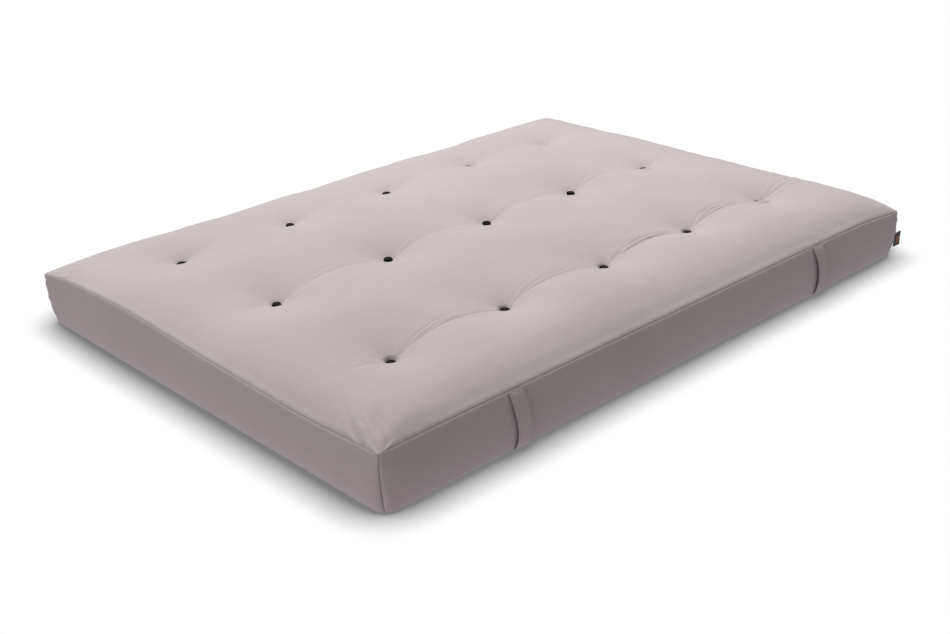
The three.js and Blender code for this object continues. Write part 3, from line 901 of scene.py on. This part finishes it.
def border_panel(side):
    spec = SIDES[side]
    half, seed = spec["half"], spec["seed"]
    along = stations(-half, half, [], 1.0, 10 * MM, 10 * MM, [*BORDER_STEPS, 6 * MM])
    tall = TOP_SEAM - FLOOR_SEAM
    share = stations(0, tall, [], 1.0, 6 * MM, 6 * MM, BORDER_STEPS) / tall
    s, h = np.meshgrid(along, share, indexing="ij")
    below_top, above_base, corner = (1 - h) * tall, h * tall, half - np.abs(s)
    tuck = (1 - h) ** 2.2
    half_x, half_y = HALF_LENGTH - BASE_TUCK_X * tuck, HALF_WIDTH - BASE_TUCK_Y * tuck
    lengthwise = half == HALF_LENGTH
    across, shrink = (half_y, half_x / half) if lengthwise else (half_x, half_y / half)
    rim_x = spec["along"][0] * s + spec["out"][0] * HALF_LENGTH
    rim_y = spec["along"][1] * s + spec["out"][1] * HALF_WIDTH
    z = FLOOR_SEAM + (TOP_SEAM + seam_lift(rim_x, rim_y) - FLOOR_SEAM) * h
    out = border_swell(s, h, half) + border_wrinkles(s, h, half, seed)
    out = out - groove(below_top, rim_x if lengthwise else rim_y, 22 if lengthwise else 21)
    out = out + roll(below_top, s, seed) * np.clip(below_top / (3 * MM), 0, 1)
    out = out - groove(above_base, rim_x if lengthwise else rim_y, 42 if lengthwise else 41) * 0.5
    ends = CORNER_GROOVE * np.exp(-corner / GROOVE_WIDTH)
    out = out - ends * np.clip(np.minimum(below_top, above_base) / (4 * MM), 0, 1)
    place_x = spec["along"][0] * (s * shrink - np.sign(s) * ends) + spec["out"][0] * (across + out)
    place_y = spec["along"][1] * (s * shrink - np.sign(s) * ends) + spec["out"][1] * (across + out)
    # the uppermost line of points is the top panel's own edge
    top_x, top_y = draw_in(rim_x, rim_y)
    place_x, place_y = np.where(h == 1, top_x, place_x), np.where(h == 1, top_y, place_y)
    radius = TOP_CORNER + (BASE_CORNER - TOP_CORNER) * (1 - h) ** 3
    place_x, place_y = round_corners(place_x, place_y, half_x, half_y, radius)
    points = np.stack([place_x + CENTRE_X, place_y, z], -1)
    panel = add_mesh(f"border_{side}_cloth", points, lattice_faces(*s.shape), cover_cloth)
    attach(panel, "mattress")
    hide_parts(f"border_{side}")
    return panel


borders = {side: border_panel(side) for side in SIDES}
print("borders:", {side: len(panel.data.polygons) for side, panel in borders.items()}, "faces")

# %% Base panel
BASE_REACH = 36 * MM


def base_panel():
    half_x, half_y = HALF_LENGTH - BASE_TUCK_X, HALF_WIDTH - BASE_TUCK_Y
    xs = stations(-half_x, half_x, column_places, 30 * MM, 6 * MM, 24 * MM, EDGE_STEPS)
    ys = stations(-half_y, half_y, list(row_places.values()), 30 * MM, 6 * MM, 24 * MM, EDGE_STEPS)
    x, y = np.meshgrid(xs, ys, indexing="ij")
    edge = np.minimum(half_x - np.abs(x), half_y - np.abs(y))
    z = 0.6 * MM + (FLOOR_SEAM - 0.6 * MM) * np.exp(-((edge / (13 * MM)) ** 1.5))
    for name, (tuft_x, tuft_y, _, _) in tuft_places.items():
        pad_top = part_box(name + "_base_pad")[1].z
        away = np.maximum(np.hypot(x - tuft_x, y - tuft_y) - SEAT_RADIUS, 0)
        z = np.maximum(z, (pad_top + 0.4 * MM) * np.exp(-((away / BASE_REACH) ** 1.4)))
    groove_x = np.sign(x) * 0.5 * groove(half_x - np.abs(x), y, 41)
    groove_y = np.sign(y) * 0.5 * groove(half_y - np.abs(y), x, 42)
    plan_x, plan_y = round_corners(x - groove_x, y - groove_y, half_x, half_y, BASE_CORNER)
    points = np.stack([plan_x + CENTRE_X, plan_y, z], -1)
    panel = add_mesh("cover_base_cloth", points, lattice_faces(*x.shape, flip=True), cover_cloth)
    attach(panel, "mattress")
    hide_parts("cover_base")
    return panel


base_cloth = base_panel()
print("base panel:", len(base_cloth.data.polygons), "faces")

# %% [markdown]
# ## The filling
#
# Inside the cover lie a layer of cotton felt, a block of foam and another layer of felt. Nobody
# sees them here, but the cover takes its form from them and a cutaway view would show them. Each
# is a closed lattice: an upper face and a lower face, joined round a soft edge.


# %% Filling layers
def filling_layer(name, node, material, upper, lower, inset, lumps, seed):
    """A soft closed layer between two height functions, drawn in from the cover by inset."""
    half_x, half_y = HALF_LENGTH - inset, HALF_WIDTH - inset
    xs = np.concatenate([[-half_x], np.linspace(-half_x + 8 * MM, half_x - 8 * MM, 82), [half_x]])
    ys = np.concatenate([[-half_y], np.linspace(-half_y + 8 * MM, half_y - 8 * MM, 58), [half_y]])
    x, y = np.meshgrid(xs, ys, indexing="ij")
    rim = (np.abs(x) >= half_x - 1e-9) | (np.abs(y) >= half_y - 1e-9)
    top, bottom = upper(x, y), lower(x, y)
    lump = soft_noise(x, y, lumps, seed) * 0.8 * MM
    middle = (top + bottom) / 2
    top = np.where(rim, middle, top - np.abs(lump))
    bottom = np.where(rim, middle, bottom + np.abs(lump))
    plan_x, plan_y = round_corners(x, y, half_x, half_y)
    faces_up = lattice_faces(*x.shape)
    points = np.concatenate([
        np.stack([plan_x + CENTRE_X, plan_y, top], -1).reshape(-1, 3),
        np.stack([plan_x + CENTRE_X, plan_y, bottom], -1).reshape(-1, 3),
    ])
    faces = np.concatenate([faces_up, faces_up[:, ::-1] + x.size])
    piece = add_mesh(name, points, faces, material)
    mesh = bmesh.new()
    mesh.from_mesh(piece.data)
    bmesh.ops.remove_doubles(mesh, verts=mesh.verts, dist=1e-6)
    mesh.to_mesh(piece.data)
    mesh.free()
    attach(piece, "mattress")
    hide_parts(node)
    return piece


FOAM_LOW, FOAM_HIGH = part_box("foam_core")[0].z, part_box("foam_core")[1].z
FELT_CLEARANCE = 20 * MM
filling_layer(
    "cotton_top_felt", "cotton_top", cotton_felt,
    lambda x, y: np.maximum(crown(x, y) - FELT_CLEARANCE, FOAM_HIGH + 12 * MM),
    lambda x, y: np.full_like(x, FOAM_HIGH + 1 * MM), 14 * MM, 0.05, 5,
)
filling_layer(
    "foam_core_block", "foam_core", foam_block,
    lambda x, y: np.full_like(x, FOAM_HIGH),
    lambda x, y: np.full_like(x, FOAM_LOW + 0.5 * MM), 10 * MM, 0.20, 6,
)
filling_layer(
    "cotton_base_felt", "cotton_base", cotton_felt,
    lambda x, y: np.full_like(x, FOAM_LOW - 0.5 * MM),
    lambda x, y: np.full_like(x, 19 * MM), 24 * MM, 0.05, 7,
)
print("foam from", round(FOAM_LOW, 3), "to", round(FOAM_HIGH, 3), "m")

# %% [markdown]
# ## Tufts
#
# A tuft is a loop of strong twine through the whole mattress, with a thick felt pad under its
# knot at either face. The pads are small, but they are the only black things on a pale cover, so
# they get real thickness, a full round rim and a dished middle. The twine is two plies laid round
# each other, with a coiled knot on each pad.


# %% Pads
def lathe(profile, sides):
    """Rings of points round the Z axis through each (radius, height) of a profile."""
    turn = np.linspace(0, 2 * np.pi, sides, endpoint=False)
    return np.stack([
        np.stack([r * np.cos(turn), r * np.sin(turn), np.full(sides, h)], -1) for r, h in profile
    ])


PAD_SWELL = 2.4
PAD_SIDES = 36


def felt_pad(name, centre, low, high, radius, seed, facing):
    """A felt disc with a hole for the twine. Its full, dished face is the upper one, or the lower
    one if facing is -1."""
    thick = high - low
    swell = PAD_SWELL if facing > 0 else 1.0
    upper = [(0.24, 0.70), (0.34, 0.80), (0.46, 0.92), (0.60, 1.0), (0.74, 0.98), (0.86, 0.90), (0.95, 0.76)]
    profile = [
        (0.17, 0.30), (0.17, 0.62), *((r, 0.6 + (h - 0.6) * swell) for r, h in upper),
        (1.0, 0.58), (1.0, 0.36), (0.97, 0.14), (0.90, 0.03), (0.70, 0.0), (0.40, 0.0), (0.17, 0.0),
    ]
    rings = lathe([(r * radius, h * thick) for r, h in profile], PAD_SIDES)
    rng = np.random.default_rng(seed)
    angle = np.linspace(0, 2 * np.pi, PAD_SIDES, endpoint=False)
    uneven = 1 + 0.02 * np.sin(3 * angle + rng.uniform(0, 6)) + 0.012 * np.sin(7 * angle + rng.uniform(0, 6))
    rings[..., 0] *= uneven
    rings[..., 1] *= uneven
    rings[..., 2] += 0.12 * MM * rng.standard_normal(rings.shape[:2]) * (rings[..., 2] > 0.5 * thick)
    if facing < 0:
        rings[..., 2] = thick - rings[..., 2]
    points = rings + np.array([centre[0], centre[1], low])
    count = len(points)
    index = np.arange(count * PAD_SIDES).reshape(count, PAD_SIDES)
    index = np.concatenate([index, index[:1]])
    index = np.concatenate([index, index[:, :1]], axis=1)
    faces = np.stack([index[:-1, :-1], index[:-1, 1:], index[1:, 1:], index[1:, :-1]], -1).reshape(-1, 4)
    if facing < 0:
        faces = faces[:, ::-1]
    pad = add_mesh(name + "_felt", points, faces, tuft_felt)
    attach(pad, "mattress")
    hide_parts(name)
    return pad


# %% Twine
def tube(path, radius, sides=6):
    """Rings of a thin tube along a path of points, and its faces with closed ends."""
    path = np.asarray(path, float)
    ahead = np.gradient(path, axis=0)
    ahead /= np.linalg.norm(ahead, axis=1, keepdims=True)
    helper = np.where(np.abs(ahead[:, 2:3]) < 0.9, [[0, 0, 1.0]], [[1.0, 0, 0]])
    side = np.cross(ahead, helper)
    side /= np.linalg.norm(side, axis=1, keepdims=True)
    other = np.cross(ahead, side)
    turn = np.linspace(0, 2 * np.pi, sides, endpoint=False)[None, :, None]
    rings = path[:, None] + radius * (np.cos(turn) * side[:, None] + np.sin(turn) * other[:, None])
    faces = [tuple(f) for f in lattice_faces(len(path), sides, closed=True)]
    faces += [tuple(range(sides)), tuple(range((len(path) - 1) * sides, len(path) * sides))[::-1]]
    return rings.reshape(-1, 3), faces


def join_tubes(tubes):
    points, faces, count = [], [], 0
    for tube_points, tube_faces in tubes:
        points.append(tube_points)
        faces += [tuple(i + count for i in face) for face in tube_faces]
        count += len(tube_points)
    return np.concatenate(points), faces


def twine(name, centre, low, high):
    """Two plies from pad to pad, and a flat coil of twine as the knot at either end."""
    ply, lay, knot = 0.55 * MM, 7 * MM, 1.1 * MM
    turns = (high - low - 2 * knot) / lay
    t = np.linspace(0, 1, int(turns * 8))
    tubes = []
    for phase in (0, math.pi):
        angle = 2 * math.pi * turns * t + phase
        z = low + knot + (high - low - 2 * knot) * t
        tubes.append(tube(np.stack([ply * np.cos(angle), ply * np.sin(angle), z], -1), ply, 5))
    coil = np.linspace(0, 1, 60)
    for z, flip in ((low + 0.75 * MM, -1), (high - 0.75 * MM, 1)):
        angle = 2 * math.pi * 2.4 * coil * flip
        radius = (1.0 + 2.6 * coil) * MM
        wander = 0.25 * MM * np.sin(5 * angle)
        coiled = np.stack([radius * np.cos(angle), radius * np.sin(angle), z + wander * 0.4], -1)
        tubes.append(tube(coiled, 0.62 * MM, 6))
    points, faces = join_tubes(tubes)
    cord = add_mesh(name + "_cord", points + np.array([centre[0], centre[1], 0]), faces, twine_cord)
    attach(cord, "mattress")
    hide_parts(name)
    return cord


# %% Place the fifteen tufts
for number, name in enumerate(TUFT_NAMES):
    for end, facing in (("top", 1), ("base", -1)):
        low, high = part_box(f"{name}_{end}_pad")
        middle = (low + high) / 2
        felt_pad(f"{name}_{end}_pad", middle, low.z, high.z, (high.x - low.x) / 2, 400 + number, facing)
    low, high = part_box(name + "_twine")
    twine(name + "_twine", (low + high) / 2, low.z, high.z)
print("tufts:", len(TUFT_NAMES), "each with two pads and a twine")

# %% [markdown]
# ## Strap handles
#
# A handle is a folded band of the cover's own cloth, sewn shut along both edges and caught in the
# top and base seams. It is cut a little longer than the border is tall, so it bows away and a hand
# can go behind it. When it is pulled, its middle moves out and its sewn ends stay. Each handle is
# made as an upper and a lower half, which meet halfway up the border.

# %% Strap sizes
STRAP_WIDTH = 45 * MM
STRAP_THICK = 3.2 * MM
STRAP_SLACK = 9 * MM
HEM_INSET = 3.6 * MM
STITCH_PITCH = 3.4 * MM
STITCH_LENGTH = 2.3 * MM


def strap_path(share, half_along):
    """Distance out from the side's plane, and height, of the strap's inner face."""
    tall = TOP_SEAM - FLOOR_SEAM
    clear = STRAP_SLACK * np.abs(np.sin(np.pi * share)) ** 0.6 + 0.3 * MM
    tuck = BASE_TUCK_Y * (1 - share) ** 2.2
    return border_swell(half_along, share, HALF_LENGTH) - tuck + clear, FLOOR_SEAM + tall * share


# %% Strap body and stitches
def strap_section():
    """The strap's cross-section: (across, outward) pairs, flat inside, with two sewn valleys outside."""
    half, edge = STRAP_WIDTH / 2, 0.9 * MM
    inner = [(a, 0.0) for a in np.linspace(-half + edge, half - edge, 7)]
    outer = []
    for a in np.linspace(half - edge, -half + edge, 25):
        from_edge = half - abs(a)
        outer.append((a, STRAP_THICK - 1.3 * MM * math.exp(-((from_edge - HEM_INSET) / (1.3 * MM)) ** 2)))
    right_edge, left_edge = [(half, STRAP_THICK * 0.5)], [(-half, STRAP_THICK * 0.5)]
    return np.array(inner + right_edge + outer + left_edge)


def strap_half(name, centre_x, lean, sign_y, low_share, high_share, seed):
    """One half of a handle, from low_share to high_share of the border's height."""
    rng = np.random.default_rng(seed)
    phase = rng.uniform(0, 6)
    section = strap_section()
    shares = np.linspace(low_share, high_share, 25)

    def place(share, across, outward):
        out, z = strap_path(share, centre_x)
        grip = np.exp(-np.minimum(share, 1 - share) / 0.10)
        gather = 1 - 0.05 * grip
        wave = 0.7 * MM * np.sin(across / STRAP_WIDTH * 6 + phase) * grip
        cup = 1.2 * MM * (2 * across / STRAP_WIDTH) ** 2 * np.sin(np.pi * share)
        x = centre_x + STRAP_SHIFT + lean * (0.5 - share) + across * gather
        x = x + 0.8 * MM * np.sin(9 * share + phase)
        y = sign_y * (HALF_WIDTH + out + outward + wave - cup)
        rim = TOP_SEAM + seam_lift(x, sign_y * HALF_WIDTH + 0 * x)
        z = FLOOR_SEAM + (z - FLOOR_SEAM) * (rim - FLOOR_SEAM - 0.5 * MM) / (TOP_SEAM - FLOOR_SEAM)
        return np.stack([x + CENTRE_X, y, z], -1)

    s, k = np.meshgrid(shares, np.arange(len(section)), indexing="ij")
    points = place(s, section[k, 0], section[k, 1])
    band = lattice_faces(len(shares), len(section), flip=sign_y > 0, closed=True)
    tubes = [(points.reshape(-1, 3), [tuple(f) for f in band])]
    band_count = len(band)
    tall = TOP_SEAM - BASE_SEAM
    for line in (-1, 1):
        across = line * (STRAP_WIDTH / 2 - HEM_INSET)
        starts = np.arange(low_share * tall + 2 * MM, high_share * tall - STITCH_LENGTH, STITCH_PITCH)
        for start in starts:
            t = np.linspace(0, 1, 5)
            share = (start + STITCH_LENGTH * t) / tall
            outward = STRAP_THICK - 1.1 * MM + 0.5 * MM * np.sin(np.pi * t)
            tubes.append(tube(place(share, across + 0 * t, outward), 0.32 * MM, 5))
    points, faces = join_tubes(tubes)
    piece = add_mesh(name, points, faces, strap_cloth, thread_cloth)
    slots = np.ones(len(faces), int)
    slots[:band_count] = 0
    piece.data.polygons.foreach_set("material_index", slots)
    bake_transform(piece)
    return piece


STRAP_MIDDLE = (TOP_SEAM + FLOOR_SEAM) / 2
STRAP_SHIFT = -11 * MM
STRAP_LEAN = {"left": 22 * MM, "right": 24 * MM}
for end, sign_y in (("front", -1), ("back", 1)):
    for hand in ("left", "right"):
        body = f"handle_{end}_{hand}"
        low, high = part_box(body)
        centre_x = (low.x + high.x) / 2 - CENTRE_X
        seed = 500 + len(body) + (7 if sign_y > 0 else 0)
        halves = {
            "upper": (0.5, 0.995, TOP_SEAM, STRAP_MIDDLE),
            "lower": (0.0, 0.5, FLOOR_SEAM, STRAP_MIDDLE),
        }
        for part, (low_share, high_share, blend_from, blend_to) in halves.items():
            piece = strap_half(
                f"{body}_{part}", centre_x, STRAP_LEAN[hand], sign_y,
                low_share, high_share, seed,
            )
            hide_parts(body)
print("handles: 4, each", round(STRAP_WIDTH * 1000), "mm wide")

# %% [markdown]
# ## The label
#
# A short woven ribbon is folded over and its cut ends are caught in the corner seam, which leaves
# a small loop. Only a plain block of colour is woven into it. It flaps about the seam, which holds
# its sewn end.


# %% Label loop
SEWN_IN = 11 * MM
LABEL_HEIGHT, LABEL_REACH = 0.82, 0.86


def label_loop():
    low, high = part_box("side_label")
    middle_y = (low.y + high.y) / 2
    start, height = low.x - SEWN_IN, (high.z - low.z) * LABEL_HEIGHT
    length = low.x + (high.x - low.x) * LABEL_REACH - start
    fold, cloth = 2.2 * MM, 0.45 * MM
    path = []
    for t in np.linspace(0, 1, 13):
        path.append((t * (length - fold), -fold * (0.35 + 0.65 * t)))
    for angle in np.linspace(-90, 90, 9)[1:-1]:
        a = math.radians(angle)
        path.append((length - fold + fold * math.cos(a), fold * math.sin(a)))
    for t in np.linspace(1, 0, 13):
        path.append((t * (length - fold), fold * (0.35 + 0.65 * t)))
    path = np.array(path)
    ahead = np.gradient(path, axis=0)
    ahead /= np.linalg.norm(ahead, axis=1, keepdims=True)
    out = np.stack([ahead[:, 1], -ahead[:, 0]], -1)
    heights = np.linspace(0, height, 21)
    layers = []
    for offset in (0, -cloth):
        line = path + out * offset
        x = start + line[:, 0:1] + 0.6 * MM * np.sin(3 * heights / height)[None] * (line[:, 0:1] / length)
        sway = 1.5 * MM * np.sin(2.5 * heights / height + 0.4)[None] * (line[:, 0:1] / length) ** 1.5
        y = middle_y + line[:, 1:2] + sway
        z = low.z + heights[None] + 0 * x
        layers.append(np.stack([x, y, z], -1))
    outer, inner = layers
    count, tall = outer.shape[:2]
    loop = np.concatenate([outer, inner[:, ::-1]], axis=1)
    walls = lattice_faces(count, 2 * tall, closed=True)
    ends = []
    for first, turn in ((0, 1), ((count - 1) * 2 * tall, -1)):
        for k in range(tall - 1):
            far = first + 2 * tall - 1 - k
            ends.append([first + k, first + k + 1, far - 1, far][::turn])
    faces = np.concatenate([walls, np.array(ends)])
    piece = add_mesh("side_label_loop", loop, faces, label_charcoal, label_rust, label_inside)
    centres = np.array([p.center for p in piece.data.polygons])
    column = np.concatenate([np.repeat(np.arange(count - 1), 2 * tall), np.zeros(len(ends), int)])
    band = np.concatenate([np.tile(np.arange(2 * tall), count - 1), np.full(len(ends), tall)])
    kind = np.zeros(len(faces), int)
    kind[band > tall] = 2
    share_x, share_z = (centres[:, 0] - start) / length, (centres[:, 2] - low.z) / height
    block = (band < tall) & (column < 13)
    block &= (share_x > 0.38) & (share_x < 0.68) & (share_z > 0.22) & (share_z < 0.72)
    kind[block] = 1
    piece.data.polygons.foreach_set("material_index", kind)
    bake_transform(piece)
    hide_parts("side_label")
    return piece


label = label_loop()
print("label:", len(label.data.polygons), "faces")
